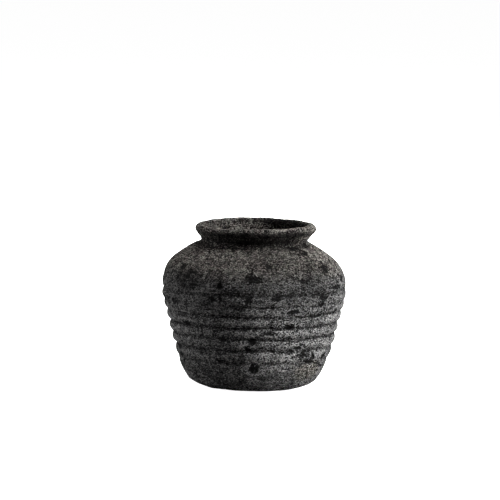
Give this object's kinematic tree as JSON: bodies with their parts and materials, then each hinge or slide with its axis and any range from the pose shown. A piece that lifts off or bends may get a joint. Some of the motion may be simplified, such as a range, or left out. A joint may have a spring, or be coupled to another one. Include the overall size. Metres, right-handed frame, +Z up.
{
  "type": "clay pot",
  "caption": "Round matte black clay pot with a flat foot, a belly ridged by level coils, a smooth shoulder, a short neck and a thick rolled lip.",
  "frame": {"origin": "centre of the flat foot, on the surface that the pot stands on", "axes": "+Z up along the pot's axis, out of the mouth; the pot is round, so +X and +Y are free"},
  "size_m": [0.24, 0.24, 0.2135],
  "materials": {
    "black_clay": "matte, pitted reduction-fired black clay with pale ash flecks"
  },
  "bodies": {
    "root": {"base_disc": "black_clay", "heel_wall": "black_clay", "inner_seam_coil": "black_clay", "belly_coil_1": "black_clay", "belly_coil_2": "black_clay", "belly_coil_3": "black_clay", "belly_coil_4": "black_clay", "belly_coil_5": "black_clay", "belly_coil_6": "black_clay", "shoulder_coil_1": "black_clay", "shoulder_coil_2": "black_clay", "shoulder_coil_3": "black_clay", "shoulder_coil_4": "black_clay", "shoulder_coil_5": "black_clay", "neck_collar": "black_clay", "rim_roll": "black_clay"}
  },
  "joints": []
}
